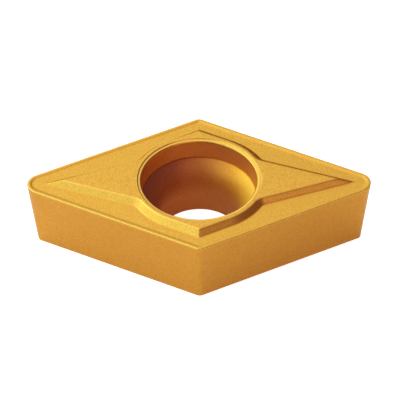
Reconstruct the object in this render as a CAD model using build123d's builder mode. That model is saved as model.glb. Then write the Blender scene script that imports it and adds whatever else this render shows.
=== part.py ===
from build123d import *
from math import atan2, cos, degrees, radians, sin, sqrt, tan
import os

# Indexable turning insert in coated carbide: a 55 degree rhombus with ground relief on all four
# flanks, a pressed chip groove on its one cutting side and a countersunk hole for the clamp screw.
# The seating face lies on z = 0, the hole axis is Z and the long diagonal runs along X.

# Body
inscribed_circle = 9.525
nose_angle = 55.0
thickness = 3.97
relief_angle = 7.0
nose_radius = 0.8
heel_radius = 0.35
edge_hone = 0.05

# Chip groove, measured inwards from the cutting edge
land_width = 0.18
drop_width = 0.24
groove_depth = 0.06
floor_slope = 1.5

# Boss: a collar round the hole, an arm towards each nose and a short heel at each obtuse corner
boss_height = 0.26
wall_angle = 45.0
collar_width = 0.19
arm_reach = 7.52
arm_angle = 40.4
valley_radius = 0.1

# Screw hole, from the top: a shallow ring coined into the boss, a rounded rim, a nearly straight
# wall, a rounded seat for the screw head, and the bore
ring_diameter = 6.74
ring_depth = 0.03
rim_rounding = 0.13
mouth_diameter = 6.30
seat_depth = 1.2
wall_draft = 2.5
seat_radius = 1.75
bore_diameter = 4.4

half_nose = radians(nose_angle / 2)
half_arm = radians(arm_angle / 2)
half_width = inscribed_circle / 2
floor_width = half_width - land_width - drop_width
floor_level = thickness - groove_depth
top_level = thickness + boss_height
wall_spread = (top_level - floor_level) / tan(radians(wall_angle))
ring_radius = ring_diameter / 2
mouth_radius = mouth_diameter / 2
bore_radius = bore_diameter / 2
collar_radius = ring_radius + collar_width


def rhombus(across):
    # Corners of the rhombus whose four sides lie this far from the hole axis
    long_half = across / sin(half_nose)
    short_half = across / cos(half_nose)
    return (long_half, 0), (0, short_half), (-long_half, 0), (0, -short_half)


# Chip groove as it is pressed in: the drop falls from the land to the floor, and the floor rises
# again a little towards the hole
with BuildPart() as groove:
    with BuildSketch(Plane.XY.offset(thickness)) as land_outline:
        Polygon(*rhombus(half_width - land_width), align=None)
        fillet(land_outline.vertices().sort_by(Axis.X)[0::3], nose_radius - land_width)
    drop_taper = degrees(atan2(drop_width, groove_depth))
    drop = extrude(amount=groove_depth, taper=drop_taper, mode=Mode.PRIVATE)
    mirror(drop, about=Plane.XY.offset(thickness))
    with BuildSketch(Plane.XY.offset(floor_level)) as floor_outline:
        Polygon(*rhombus(floor_width), align=None)
    floor_peak = Vertex(0, 0, floor_level + floor_width * tan(radians(floor_slope)))
    loft([floor_outline.sketch, floor_peak], ruled=True, mode=Mode.SUBTRACT)

with BuildPart() as insert:
    # Body, drawn at the cutting edge and tapered down to the seating face. The nose arcs keep
    # their centres all the way down, so the relief below each nose is a cone.
    with BuildSketch(Plane.XY.offset(thickness)) as edge_outline:
        Polygon(*rhombus(half_width), align=None)
        fillet(edge_outline.vertices().sort_by(Axis.X)[0::3], nose_radius)
    body = extrude(amount=thickness, taper=relief_angle, mode=Mode.PRIVATE)
    mirror(body, about=Plane.XY.offset(thickness))
    fillet(insert.edges().filter_by_position(Axis.X, -0.01, 0.01), heel_radius)
    fillet(insert.faces().sort_by(Axis.Z)[-1].edges(), edge_hone)
    add(groove.part, mode=Mode.SUBTRACT)

    # Boss, drawn at the foot of its sloping wall. The heels are tangent to the collar and their
    # sides run parallel to the cutting edges.
    collar_foot = collar_radius + wall_spread
    touch_x = collar_foot * sin(half_nose)
    touch_y = collar_foot * cos(half_nose)
    heel_y = collar_foot / cos(half_nose)
    tip_x = arm_reach + wall_spread / sin(half_arm)
    waist_y = tip_x * tan(half_arm)
    with BuildSketch(Plane.XY.offset(floor_level)) as boss_outline:
        Circle(collar_foot)
        Polygon((tip_x, 0), (0, waist_y), (-tip_x, 0), (0, -waist_y), align=None)
        Polygon((0, 0), (touch_x, touch_y), (0, heel_y), (-touch_x, touch_y), align=None)
        mirror(about=Plane.XZ)
        levels = boss_outline.vertices().group_by(Axis.Y)
        fillet(levels[2] + levels[-3], valley_radius)
    extrude(amount=top_level - floor_level, taper=90 - wall_angle)

    # Screw hole. The mouth is measured where the wall runs into the rounded rim.
    ring_level = top_level - ring_depth
    seat_level = top_level - seat_depth
    draft = radians(wall_draft)
    mouth_level = ring_level - rim_rounding * (1 - sin(draft))
    rim_radius = mouth_radius + rim_rounding * cos(draft)
    wall_direction = (sin(draft), cos(draft))
    seat_edge = mouth_radius - (mouth_level - seat_level) * tan(draft)
    seat_run = seat_edge - bore_radius
    tangent_level = seat_level - sqrt(seat_run * (2 * seat_radius - seat_run))
    with BuildSketch(Plane.XZ) as hole_profile:
        with BuildLine():
            Line((seat_edge, seat_level), (mouth_radius, mouth_level))
            TangentArc((mouth_radius, mouth_level), (rim_radius, ring_level), tangent=wall_direction)
            Polyline(
                (rim_radius, ring_level),
                (ring_radius - ring_depth, ring_level),
                (ring_radius, top_level),
                (0, top_level),
                (0, 0),
                (bore_radius, 0),
                (bore_radius, tangent_level),
            )
            TangentArc((bore_radius, tangent_level), (seat_edge, seat_level), tangent=(0, 1))
        make_face()
    revolve(axis=Axis.Z, mode=Mode.SUBTRACT)

insert.part.label = "insert"
os.makedirs("parts", exist_ok=True)
export_step(insert.part, "parts/insert.step")

print("insert", round(insert.part.volume, 3), "mm3", insert.part.bounding_box().size)
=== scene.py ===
import bpy
import math
import numpy as np
from mathutils import Matrix, Vector


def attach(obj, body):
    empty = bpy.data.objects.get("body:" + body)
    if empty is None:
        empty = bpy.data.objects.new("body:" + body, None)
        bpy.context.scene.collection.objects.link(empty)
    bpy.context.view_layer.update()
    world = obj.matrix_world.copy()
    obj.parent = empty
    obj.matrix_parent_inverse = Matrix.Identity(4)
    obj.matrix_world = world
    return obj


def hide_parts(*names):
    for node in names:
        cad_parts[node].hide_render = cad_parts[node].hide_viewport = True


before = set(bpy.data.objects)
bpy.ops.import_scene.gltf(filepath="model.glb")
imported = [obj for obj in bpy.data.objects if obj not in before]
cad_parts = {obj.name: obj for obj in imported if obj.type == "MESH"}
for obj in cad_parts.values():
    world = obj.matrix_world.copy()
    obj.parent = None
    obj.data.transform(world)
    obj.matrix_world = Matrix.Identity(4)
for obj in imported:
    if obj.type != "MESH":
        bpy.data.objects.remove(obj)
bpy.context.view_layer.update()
millimetre = 0.001

# The insert, in millimetres and degrees. Heights of the groove and the boss count from the cutting edge.
# Walls steepen by the degrees given for how far a spot lies back and left (-x times y).
# The painted highlight says how far an edge goes to the bright highlight colour painted along it. A finish
# may have a run of painted light and shade across the hole, from one X to another, with its stops, and a
# low tone that it rises from between two heights.
insertValues = {
    "inscribedCircle": 9.525,
    "noseAngle": 55.0,
    "thickness": 3.97,
    "relief": 7.0,
    "noseRadius": 0.8,
    "heelRadius": 0.35,
    "hone": 0.05,
    "land": 0.18,
    "drop": 0.17,
    "grooveDepth": 0.03,
    "floorSlope": 1.0,
    "bossHeight": 0.26,
    "wallAngle": 40.0,
    "steepening": [(0.0, 0.0), (3.0, 2.4), (3.6, 2.4), (6.0, 9.6)],
    "collarRadius": 3.56,
    "armReach": 7.52,
    "armAngle": 40.4,
    "valleyRadius": 0.9,
    "tipBlunting": 0.03,
    "ringRadius": 3.38,
    "ringDepth": 0.04,
    "ringFootRounding": 0.01,
    "ringEdgeRounding": 0.015,
    "mouthRadius": 3.25,
    "rimRounding": 0.1,
    "seatDepth": 1.2,
    "wallDraft": 2.5,
    "seatEdgeRounding": 0.02,
    "seatRadius": 1.75,
    "boreRadius": 2.2,
    "lowerBreak": 0.04,
    "landBlend": 0.01,
    "floorBlend": 0.01,
    "footBlend": 0.05,
    "topBlend": 0.06,
    # highlights painted along the edges, and the colour they are painted in
    "paintedHighlight": {"boss": 0.35, "rim": 0.5, "ring": 0.3, "hone": 0.9},
    "highlightColour": (1.0, 0.80, 0.22),
    "grainSize": 0.06,
    "grainDepth": 0.003,
    "glossSwing": 0.05,
    "finishes": {
        "pressed": {
            "colour": (0.80, 0.50, 0.078),
            "deepColour": (0.66, 0.35, 0.048),
            "roughness": 0.33,
            "grazing": (0.85, 0.55, 0.36),
        },
        "wall": {
            "colour": (0.87, 0.37, 0.083),
            "deepColour": (0.75, 0.29, 0.054),
            "roughness": 0.42,
            "metallic": 0.6,
        },
        "seat": {
            "colour": (1.0, 1.0, 1.0),
            "deepColour": (0.86, 0.80, 0.72),
            "roughness": 0.5,
            "metallic": 0.6,
            "specular": 0.1,
            # the run across the hole is painted light and shade, dark on the left and bright on the right
            "across": (-2.8, 3.0),
            "run": [
                (0.0, (0.38, 0.155, 0.080)),
                (0.25, (0.44, 0.145, 0.062)),
                (0.48, (0.60, 0.228, 0.058)),
                (0.77, (0.86, 0.41, 0.055)),
                (0.88, (0.98, 0.58, 0.060)),
                (1.0, (1.0, 0.63, 0.070)),
            ],
            "rise": (1.2, 2.2),
            "low": (0.74, 0.32, 0.09),
        },
        "flank": {"colour": (0.75, 0.385, 0.049), "deepColour": (0.62, 0.285, 0.030), "roughness": 0.4},
        "seating": {"colour": (0.77, 0.40, 0.052), "deepColour": (0.64, 0.30, 0.033), "roughness": 0.36},
    },
}

finishNames = list(insertValues["finishes"])
halfNose = math.radians(insertValues["noseAngle"] / 2)
halfArm = math.radians(insertValues["armAngle"] / 2)
halfWidth = insertValues["inscribedCircle"] / 2


def smoothMin(a, b, blend):
    h = np.clip(1 - np.abs(a - b) / blend, 0, 1)
    return np.minimum(a, b) - h * h * blend / 4


def smoothMax(a, b, blend):
    return -smoothMin(-a, -b, blend)


def edgeInset(x, y):
    # distance inwards from the cutting edge; the corners are arcs about fixed centres
    size = insertValues
    across = np.abs(x) * math.sin(halfNose) + np.abs(y) * math.cos(halfNose)
    inset = halfWidth - across
    noseX = np.abs(x) - (halfWidth - size["noseRadius"]) / math.sin(halfNose)
    inNose = (noseX > 0) & (np.abs(y) * math.tan(halfNose) < noseX)
    inset = np.where(inNose, size["noseRadius"] - np.hypot(noseX, y), inset)
    heelY = np.abs(y) - (halfWidth - size["heelRadius"]) / math.cos(halfNose)
    inHeel = (heelY > 0) & (np.abs(x) < heelY * math.tan(halfNose))
    return np.where(inHeel, size["heelRadius"] - np.hypot(x, heelY), inset)


def bossOffset(x, y):
    # distance outwards from the upper outline of the boss
    size = insertValues
    blunt = size["tipBlunting"]
    x, y = np.abs(x), np.abs(y)
    bluntX, bluntY = np.hypot(x, blunt), np.hypot(y, blunt)
    arm = x * math.sin(halfArm) + bluntY * math.cos(halfArm) - size["armReach"] * math.sin(halfArm)
    collar = np.hypot(x, y) - size["collarRadius"]
    heel = bluntX * math.sin(halfNose) + y * math.cos(halfNose) - size["collarRadius"]
    inHeel = x * math.cos(halfNose) < y * math.sin(halfNose)
    body = np.where(inHeel, heel, collar)
    offset = np.minimum(arm, body)
    # the inner corner between arm and collar is an arc that closes up towards the foot of the wall
    valley = size["valleyRadius"]
    reach = size["collarRadius"] + valley
    turn = math.pi / 2 - halfArm - math.acos((size["armReach"] * math.sin(halfArm) + valley) / reach)
    centreX, centreY = reach * math.cos(turn), reach * math.sin(turn)
    fromX, fromY = x - centreX, y - centreY
    armX, armY = -math.sin(halfArm), -math.cos(halfArm)
    inX, inY = -math.cos(turn), -math.sin(turn)
    det = armX * inY - armY * inX
    alongArm = (fromX * inY - fromY * inX) / det
    alongIn = (armX * fromY - armY * fromX) / det
    inValley = (alongArm > 0) & (alongIn > 0)
    return np.where(inValley, valley - np.hypot(fromX, fromY), offset)


def topHeight(x, y):
    # height of the cutting side above the cutting edge
    size = insertValues
    across = np.abs(x) * math.sin(halfNose) + np.abs(y) * math.cos(halfNose)
    fall = np.maximum((edgeInset(x, y) - size["land"]) / size["drop"], -1)
    dropLine = size["grooveDepth"] * np.where(fall < 1, (fall - 2) * fall, -1)
    floorWidth = halfWidth - size["land"] - size["drop"]
    floorLine = (floorWidth - across) * math.tan(math.radians(size["floorSlope"])) - size["grooveDepth"]
    # the walls that face back and left stand steeper, most of all along the collar
    backAndLeft = np.where(x < 0, -x * y, 0)
    wallAngle = size["wallAngle"] + np.interp(backAndLeft, *zip(*size["steepening"]))
    wallLine = size["bossHeight"] - bossOffset(x, y) * np.tan(np.radians(wallAngle))
    height = smoothMin(dropLine, 0, size["landBlend"])
    height = smoothMax(height, floorLine, size["floorBlend"])
    height = smoothMax(height, wallLine, size["footBlend"])
    return smoothMin(height, size["bossHeight"], size["topBlend"])


def quarterTurns():
    # azimuths from a nose to a heel, closer together where the outlines curve most
    spans = [(0, 5.2, 44), (5.2, 20, 20), (20, 36, 30), (36, 60, 20), (60, 84, 14), (84, 90, 14)]
    turns = [np.linspace(low, high, count, endpoint=False) for low, high, count in spans]
    return np.radians(np.concatenate(turns))


def allTurns():
    quarter = quarterTurns()
    half = np.concatenate([quarter, [math.pi / 2], math.pi - quarter[:0:-1]])
    return np.concatenate([half, half + math.pi])


def outlineReach(turns, inset, heelRadius):
    # distance from the hole axis to the outline of the body, along each azimuth
    size = insertValues
    c, s = np.abs(np.cos(turns)), np.abs(np.sin(turns))
    reach = (halfWidth - inset) / (c * math.sin(halfNose) + s * math.cos(halfNose))
    noseX = (halfWidth - size["noseRadius"]) / math.sin(halfNose)
    rounding = size["noseRadius"] - inset
    inNose = s * (noseX + rounding * math.sin(halfNose)) < c * rounding * math.cos(halfNose)
    nose = noseX * c + np.sqrt(np.maximum(rounding ** 2 - (noseX * s) ** 2, 0))
    heelY = (halfWidth - inset - heelRadius) / math.cos(halfNose)
    inHeel = c * (heelY + heelRadius * math.cos(halfNose)) < s * heelRadius * math.sin(halfNose)
    heel = heelY * s + np.sqrt(np.maximum(heelRadius ** 2 - (heelY * c) ** 2, 0))
    return np.where(inNose, nose, np.where(inHeel, heel, reach))


def roundCorner(before, corner, after, radius, steps):
    # the points of the arc that rounds one corner of a profile
    toBefore = np.subtract(before, corner) / np.linalg.norm(np.subtract(before, corner))
    toAfter = np.subtract(after, corner) / np.linalg.norm(np.subtract(after, corner))
    half = math.acos(np.clip(np.dot(toBefore, toAfter), -1, 1)) / 2
    middle = (toBefore + toAfter) / np.linalg.norm(toBefore + toAfter)
    centre = np.array(corner) + middle * radius / math.sin(half)
    start = np.array(corner) + toBefore * radius / math.tan(half) - centre
    end = np.array(corner) + toAfter * radius / math.tan(half) - centre
    sweep = math.pi - 2 * half
    points = []
    for step in range(steps + 1):
        t = step / steps
        a, b = math.sin((1 - t) * sweep) / math.sin(sweep), math.sin(t * sweep) / math.sin(sweep)
        points.append(tuple(centre + start * a + end * b))
    return points


def holeProfile():
    # radius, height above the seating face and finish, from the seating face up to the rim
    size = insertValues
    top = size["thickness"] + size["bossHeight"]
    seatLevel = top - size["seatDepth"]
    draft = math.tan(math.radians(size["wallDraft"]))
    ringLevel = top - size["ringDepth"]
    lip = (size["mouthRadius"] - size["rimRounding"] * (1 - draft), ringLevel)
    seatEdge = lip[0] - (ringLevel - seatLevel) * draft
    run = seatEdge - size["boreRadius"]
    rise = math.sqrt(run * (2 * size["seatRadius"] - run))
    tangentLevel = seatLevel - rise
    sweep = math.asin(rise / size["seatRadius"])
    bore = size["boreRadius"]
    lower = size["lowerBreak"]
    seat = roundCorner((bore + 1, 0), (bore, 0), (bore, 1), lower, 4)
    seat += [(bore, level) for level in np.linspace(lower + 0.05, tangentLevel, 4)]
    for turn in np.linspace(0, sweep, 26)[1:]:
        out, lift = size["seatRadius"] * (1 - math.cos(turn)), size["seatRadius"] * math.sin(turn)
        seat.append((bore + out, tangentLevel + lift))
    edge = seat.pop()
    seat += roundCorner(seat[-1], edge, lip, size["seatEdgeRounding"], 4)
    wall = [(seatEdge + draft * h, seatLevel + h) for h in (0.1, 0.4, 0.7, 0.95)]
    rounding = roundCorner((seatEdge, seatLevel), lip, (lip[0] + 1, ringLevel), size["rimRounding"], 10)
    # a shallow ring is coined into the boss round the hole
    foot = (size["ringRadius"] - size["ringDepth"], ringLevel)
    rim = (size["ringRadius"], top)
    ring = roundCorner(lip, foot, rim, size["ringFootRounding"], 2)
    ring += roundCorner(foot, rim, (rim[0] + 1, top), size["ringEdgeRounding"], 3)
    points = [(*point, "seat") for point in seat] + [(*point, "wall") for point in wall]
    return points + [(*point, "pressed") for point in rounding + ring]


def topRows(turns, start):
    # rows across the cutting side, from the rim of the hole out to the hone of the cutting edge,
    # each with its height and how much highlight is painted on it
    size = insertValues
    honeStart = size["hone"] / math.tan(math.radians((90 - size["relief"]) / 2))
    end = outlineReach(turns, honeStart, size["heelRadius"] - honeStart)
    sampleCount = 900
    along = np.linspace(0, 1, sampleCount)[:, None]
    reach = start + (end - start) * along
    x, y = reach * np.cos(turns), reach * np.sin(turns)
    offset, inset = bossOffset(x, y), edgeInset(x, y)

    def at(values, target):
        return np.array([np.interp(target, values[:, k], reach[:, k]) for k in range(len(turns))])

    bossSteps = [-0.08, -0.05, -0.03, -0.018, -0.006, 0.006, 0.018, 0.03, 0.05, 0.1, 0.16, 0.2]
    bossSteps += [0.225, 0.25, 0.265, 0.28, 0.295, 0.31, 0.325, 0.34, 0.36, 0.38, 0.4]
    insetSteps = [0.56, 0.51, 0.48, 0.455, 0.43, 0.405, 0.38, 0.35, 0.3, 0.25]
    insetSteps += [0.21, 0.185, 0.17, 0.155, 0.14, 0.12, 0.1, 0.085]
    boss = [at(offset, step) for step in bossSteps]
    groove = [at(-inset, -step) for step in insetSteps]
    rows = [(start + (boss[0] - start) * t, 0) for t in (0.04, 0.3, 0.6)]
    # a highlight is painted along the top edge of the wall
    highlightFrom, highlightTo = -0.035, 0.015
    rows += [(row, size["paintedHighlight"]["boss"] * (highlightFrom < step < highlightTo)) for row, step in zip(boss, bossSteps)]
    rows += [(boss[-1] + (groove[0] - boss[-1]) * t, 0) for t in (0.15, 0.35, 0.55, 0.75, 0.9)]
    rows += [(row, 0) for row in groove]
    for row, paintedHighlight in rows:
        yield row, size["thickness"] + topHeight(row * np.cos(turns), row * np.sin(turns)), paintedHighlight


def makeInsert():
    size = insertValues
    turns = allTurns()
    ones = np.ones(len(turns))
    paintedHighlight = size["paintedHighlight"]
    rows, heights, finishes, highlightShares = [], [], [], []

    def addRow(row, height, finish, highlightShare=0):
        rows.append(row)
        heights.append(height * ones)
        finishes.append(finish)
        highlightShares.append(float(highlightShare))

    # highlights are painted on the rim of the hole and on the outer edge of the ring
    rimBand = 0.02
    for radius, height, finish in holeProfile():
        addRow(radius * ones, height, finish, paintedHighlight["rim"] * (abs(radius - size["mouthRadius"]) < rimBand))
    highlightShares[-1] = paintedHighlight["ring"]
    for row, height, highlightShare in topRows(turns, rows[-1]):
        addRow(row, height, "pressed", highlightShare)
    # the hone turns from the land down to the flank, and a highlight is painted on its upper third
    slope = math.tan(math.radians(size["relief"]))
    hone = size["hone"]
    honeStart = hone / math.tan(math.radians((90 - size["relief"]) / 2))
    honeSweep = math.radians(90 + size["relief"])
    for turn in np.linspace(0, honeSweep, 9):
        inset = honeStart - hone * math.sin(turn)
        level = size["thickness"] - hone * (1 - math.cos(turn))
        highlightShare = paintedHighlight["hone"] * (0 < turn < honeSweep / 3)
        addRow(outlineReach(turns, inset, size["heelRadius"] - inset), level, "pressed", highlightShare)
    for level in (size["thickness"] - 0.12, 3.0, 2.0, 1.0, 0.1):
        inset = (size["thickness"] - level) * slope
        addRow(outlineReach(turns, inset, size["heelRadius"]), level, "flank")
    lowest = size["thickness"] * slope
    for inward, level in roundCorner((-slope, 1), (0, 0), (1, 0), size["lowerBreak"], 4):
        addRow(outlineReach(turns, lowest + inward, size["heelRadius"]), level, "seating")
    outer, inner = rows[-1], rows[0]
    for t in (0.02, 0.2, 0.4, 0.6, 0.8, 0.97):
        addRow(outer + (inner - outer) * t, 0.0, "seating")
    reach, level = np.array(rows), np.array(heights)
    points = np.stack([reach * np.cos(turns), reach * np.sin(turns), level], axis=-1).reshape(-1, 3)
    rowCount, columnCount = reach.shape
    index = np.arange(rowCount * columnCount).reshape(rowCount, columnCount)
    nextRow, nextColumn = np.roll(index, -1, axis=0), np.roll(index, -1, axis=1)
    corner = np.roll(nextRow, -1, axis=1)
    faces = np.stack([index, nextRow, corner, nextColumn], axis=-1).reshape(-1, 4)
    mesh = bpy.data.meshes.new("insertBody")
    mesh.from_pydata((points * millimetre).tolist(), [], faces.tolist())
    finishOfRow = [finishNames.index(finish) for finish in finishes]
    mesh.polygons.foreach_set("material_index", np.repeat(finishOfRow, columnCount))
    mesh.polygons.foreach_set("use_smooth", np.ones(len(faces), bool))
    # the share of painted highlight on each row
    edge = mesh.attributes.new("edge", "FLOAT", "POINT")
    edge.data.foreach_set("value", np.repeat(highlightShares, columnCount))
    mesh.update()
    piece = bpy.data.objects.new("insertBody", mesh)
    bpy.context.scene.collection.objects.link(piece)
    return piece


# Where the camera stands and what it aims at. Angles are in degrees and lengths in millimetres.
cameraView = {
    "turn": 0.16,
    "height": 42.21,
    "roll": -0.45,
    "distance": 207.4,
    "sideways": 0.053,
    "upwards": -0.942,
    "pixelsPerMillimetre": 18.336,
    "pictureWidth": 400,
    "sensorWidth": 36,
}


def makeCamera():
    view = cameraView
    turn, height, roll = (math.radians(view[key]) for key in ("turn", "height", "roll"))
    back = Vector((math.sin(turn) * math.cos(height), -math.cos(turn) * math.cos(height), math.sin(height)))
    right = (-back).cross(Vector((0, 0, 1))).normalized()
    up = back.cross(right)
    rolledRight = right * math.cos(roll) + up * math.sin(roll)
    rolledUp = up * math.cos(roll) - right * math.sin(roll)
    aim = Vector((0, 0, insertValues["thickness"]))
    aim += rolledRight * view["sideways"] + rolledUp * view["upwards"]
    place = (aim + back * view["distance"]) * millimetre
    camera = bpy.data.objects.new("camera", bpy.data.cameras.new("camera"))
    bpy.context.scene.collection.objects.link(camera)
    axes = Matrix((rolledRight, rolledUp, back)).transposed()
    camera.matrix_world = Matrix.Translation(place) @ axes.to_4x4()
    camera.data.sensor_width = view["sensorWidth"]
    pixels = view["pixelsPerMillimetre"] * view["distance"]
    camera.data.lens = pixels * view["sensorWidth"] / view["pictureWidth"]
    camera.data.clip_start = 0.01
    bpy.context.scene.camera = camera


def setSocket(tree, socket, value):
    # a value that is itself a socket is linked
    if hasattr(value, "is_output"):
        tree.links.new(value, socket)
    else:
        socket.default_value = value


def addNode(tree, kind, operation=None, **values):
    node = tree.nodes.new("ShaderNode" + kind)
    if operation:
        node.operation = operation
    for label, value in values.items():
        setSocket(tree, node.inputs[label.replace("_", " ")], value)
    return node


def addMaths(tree, operation, first, second):
    node = addNode(tree, "Math", operation)
    setSocket(tree, node.inputs[0], first)
    setSocket(tree, node.inputs[1], second)
    return node.outputs["Value"]


def mixColours(tree, factor, first, second, blend="MIX"):
    node = addNode(tree, "Mix")
    node.data_type = "RGBA"
    node.blend_type = blend
    for number, value in ((0, factor), (6, first), (7, second)):
        setSocket(tree, node.inputs[number], (*value, 1) if isinstance(value, tuple) else value)
    return node.outputs[2]


def makeGrainGroup():
    # pressed and sintered grain under the coating, with faint clouds in its colour
    group = bpy.data.node_groups.new("sinteredGrain", "ShaderNodeTree")
    group.interface.new_socket(name="Place", in_out="INPUT", socket_type="NodeSocketVector")
    group.interface.new_socket(name="Grain Scale", in_out="INPUT", socket_type="NodeSocketFloat")
    for label in ("Height", "Tone"):
        group.interface.new_socket(name=label, in_out="OUTPUT", socket_type="NodeSocketFloat")
    given, result = group.nodes.new("NodeGroupInput"), group.nodes.new("NodeGroupOutput")
    place, scale = given.outputs["Place"], given.outputs["Grain Scale"]
    cloudRatio, cloudShare = 0.08, 0.06
    fine = addNode(group, "TexNoise", Vector=place, Scale=scale, Detail=3.0, Roughness=0.6).outputs["Fac"]
    cloudScale = addMaths(group, "MULTIPLY", scale, cloudRatio)
    cloud = addNode(group, "TexNoise", Vector=place, Scale=cloudScale, Detail=2.0).outputs["Fac"]
    tone = addMaths(group, "ADD", addMaths(group, "MULTIPLY", cloud, cloudShare),
                    addMaths(group, "MULTIPLY", fine, 1 - cloudShare))
    group.links.new(fine, result.inputs["Height"])
    group.links.new(tone, result.inputs["Tone"])
    return group


def addPaintedLightRun(tree, place, finish):
    # painted light and shade: the seat is painted darker on the left of the hole and brighter on the right,
    # and turns to another tone down in the bore
    parts = addNode(tree, "SeparateXYZ", Vector=place)
    shares = []
    for axis, (low, high) in (("X", finish["across"]), ("Z", finish["rise"])):
        span = addNode(tree, "MapRange", Value=parts.outputs[axis], From_Min=low * millimetre,
                       From_Max=high * millimetre)
        shares.append(span.outputs["Result"])
    ramp = addNode(tree, "ValToRGB", Fac=shares[0])
    for stop, tone in finish["run"][1:-1]:
        ramp.color_ramp.elements.new(stop)
    for element, (stop, tone) in zip(ramp.color_ramp.elements, finish["run"]):
        element.position = stop
        element.color = (*tone, 1)
    return mixColours(tree, shares[1], finish["low"], ramp.outputs["Color"])


def makeCoating(name, grainGroup):
    finish = insertValues["finishes"][name]
    swing = insertValues["glossSwing"]
    material = bpy.data.materials.new(name + "Coating")
    material.use_nodes = True
    tree = material.node_tree
    links = tree.links
    shader = tree.nodes["Principled BSDF"]
    shader.inputs["Metallic"].default_value = finish.get("metallic", 1)
    shader.inputs["Specular IOR Level"].default_value = finish.get("specular", 0.5)
    shader.inputs["Specular Tint"].default_value = (*finish.get("grazing", (1, 1, 1)), 1)
    place = addNode(tree, "TexCoord").outputs["Object"]
    grain = addNode(tree, "Group")
    grain.node_tree = grainGroup
    setSocket(tree, grain.inputs["Place"], place)
    setSocket(tree, grain.inputs["Grain Scale"], 1 / (insertValues["grainSize"] * millimetre))
    # the noise keeps to the middle of its range
    noiseLow, noiseHigh = 0.4, 0.6
    spread = addNode(tree, "MapRange", Value=grain.outputs["Tone"], From_Min=noiseLow, From_Max=noiseHigh)
    colour = mixColours(tree, spread.outputs["Result"], finish["deepColour"], finish["colour"])
    if name == "pressed":
        # a highlight is painted on the edges
        edge = addNode(tree, "Attribute")
        edge.attribute_name = "edge"
        colour = mixColours(tree, edge.outputs["Fac"], colour, insertValues["highlightColour"])
    # painted light and shade across the hole, on the seat
    if "run" in finish:
        colour = mixColours(tree, 1.0, addPaintedLightRun(tree, place, finish), colour, "MULTIPLY")
    links.new(colour, shader.inputs["Base Color"])
    gloss = addNode(tree, "MapRange", Value=grain.outputs["Tone"], To_Min=finish["roughness"] + swing,
                    To_Max=finish["roughness"] - swing)
    links.new(gloss.outputs["Result"], shader.inputs["Roughness"])
    bump = addNode(tree, "Bump", Strength=1.0, Distance=insertValues["grainDepth"] * millimetre,
                   Height=grain.outputs["Height"])
    links.new(bump.outputs["Normal"], shader.inputs["Normal"])
    return material


# Soft panels in the sky: degrees round from the right and up, half-widths of the whole and of its
# even middle, and brightness. The floor's reach is in millimetres from the hole's axis.
studio = {
    "panels": [
        (186, 37, 47, 33, (1.09, 1.42, 1.42)),
        (120, 30, 42, 24, (0.91, 1.06, 1.08)),
        (98, 68, 28, 12, (0.58, 0.51, 0.47)),
        (298, 46, 24, 8, (1.06, 0.80, 0.72)),
        (280, 80, 22, 6, (0.55, 0.38, 0.32)),
        (50, 64, 22, 6, (0.3, 0.15, 0.06)),
    ],
    "ambient": (0.23, 0.11, 0.15),
    "floorHalf": 500,
    "floorGrey": 0.9,
    "floorShow": 0.8,
    "floorGlow": 0.28,
    "floorTilt": -0.03,
    "tiltReach": 8,
    "glowFrom": (2.4, 3.6),
}


def makeWorld():
    world = bpy.data.worlds.new("studio")
    world.use_nodes = True
    tree = world.node_tree
    links = tree.links
    background = tree.nodes["Background"]
    place = addNode(tree, "TexCoord").outputs["Generated"]
    total = studio["ambient"]
    for around, high, reach, core, colour in studio["panels"]:
        around, high = math.radians(around), math.radians(high)
        toPanel = (math.cos(around) * math.cos(high), math.sin(around) * math.cos(high), math.sin(high))
        nearness = addNode(tree, "VectorMath", "DOT_PRODUCT")
        setSocket(tree, nearness.inputs[0], place)
        setSocket(tree, nearness.inputs[1], toPanel)
        fade = addNode(tree, "MapRange", Value=nearness.outputs["Value"],
                       From_Min=math.cos(math.radians(reach)), From_Max=math.cos(math.radians(core)))
        fade.interpolation_type = "SMOOTHSTEP"
        shade = addNode(tree, "VectorMath", "SCALE", Scale=fade.outputs["Result"])
        setSocket(tree, shade.inputs[0], colour)
        add = addNode(tree, "VectorMath", "ADD")
        setSocket(tree, add.inputs[0], total)
        setSocket(tree, add.inputs[1], shade.outputs["Vector"])
        total = add.outputs["Vector"]
    links.new(total, background.inputs["Color"])
    plain = addNode(tree, "Background", Color=(1, 1, 1, 1))
    rays = addNode(tree, "LightPath")
    seen = addMaths(tree, "MAXIMUM", rays.outputs["Is Camera Ray"], rays.outputs["Is Transmission Ray"])
    blend = addNode(tree, "MixShader", Fac=seen)
    links.new(background.outputs["Background"], blend.inputs[1])
    links.new(plain.outputs["Background"], blend.inputs[2])
    links.new(blend.outputs["Shader"], tree.nodes["World Output"].inputs["Surface"])
    bpy.context.scene.world = world


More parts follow.
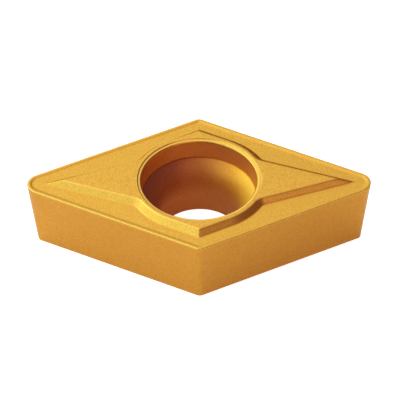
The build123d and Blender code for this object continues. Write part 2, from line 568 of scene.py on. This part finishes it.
def makeFloor():
    mesh = bpy.data.meshes.new("floor")
    half = studio["floorHalf"] * millimetre
    corners = [(-half, -half, 0), (half, -half, 0), (half, half, 0), (-half, half, 0)]
    mesh.from_pydata(corners, [], [(0, 1, 2, 3)])
    floor = bpy.data.objects.new("floor", mesh)
    bpy.context.scene.collection.objects.link(floor)
    material = bpy.data.materials.new("floorSheet")
    material.use_nodes = True
    tree = material.node_tree
    links = tree.links
    tree.nodes.remove(tree.nodes["Principled BSDF"])
    matt = addNode(tree, "BsdfDiffuse", Color=(*[studio["floorGrey"]] * 3, 1))
    rays = addNode(tree, "LightPath").outputs
    seen = addMaths(tree, "MULTIPLY", rays["Is Camera Ray"], studio["floorShow"])
    mirrored = addMaths(tree, "MAXIMUM", rays["Is Glossy Ray"], rays["Is Transmission Ray"])
    place = addNode(tree, "TexCoord").outputs["Object"]
    parts = addNode(tree, "SeparateXYZ", Vector=place)
    glow, tilt, tiltReach = studio["floorGlow"], studio["floorTilt"], studio["tiltReach"] * millimetre
    side = addNode(tree, "MapRange", Value=parts.outputs["X"], From_Min=-tiltReach, From_Max=tiltReach,
                   To_Min=glow - tilt, To_Max=glow + tilt)
    mirrored = addMaths(tree, "MULTIPLY", mirrored, side.outputs["Result"])
    # no glow under the insert, where the floor only gets what comes through the hole
    away = addNode(tree, "VectorMath", "LENGTH")
    setSocket(tree, away.inputs[0], place)
    glowStart, glowFull = studio["glowFrom"]
    clear = addNode(tree, "MapRange", Value=away.outputs["Value"], From_Min=glowStart * millimetre,
                    From_Max=glowFull * millimetre)
    mirrored = addMaths(tree, "MULTIPLY", mirrored, clear.outputs["Result"])
    light = addNode(tree, "Emission", Strength=addMaths(tree, "ADD", seen, mirrored))
    both = addNode(tree, "AddShader")
    links.new(matt.outputs["BSDF"], both.inputs[0])
    links.new(light.outputs["Emission"], both.inputs[1])
    links.new(both.outputs["Shader"], tree.nodes["Material Output"].inputs["Surface"])
    mesh.materials.append(material)


print("building the insert")
insertBody = makeInsert()
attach(insertBody, "root")
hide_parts("insert")
print("finishing it")
grainGroup = makeGrainGroup()
for finishName in finishNames:
    insertBody.data.materials.append(makeCoating(finishName, grainGroup))
insertBody.modifiers.new("flatFaceNormals", "WEIGHTED_NORMAL")
print("setting up the studio")
makeWorld()
makeFloor()
makeCamera()
bpy.context.scene.view_settings.view_transform = "Standard"
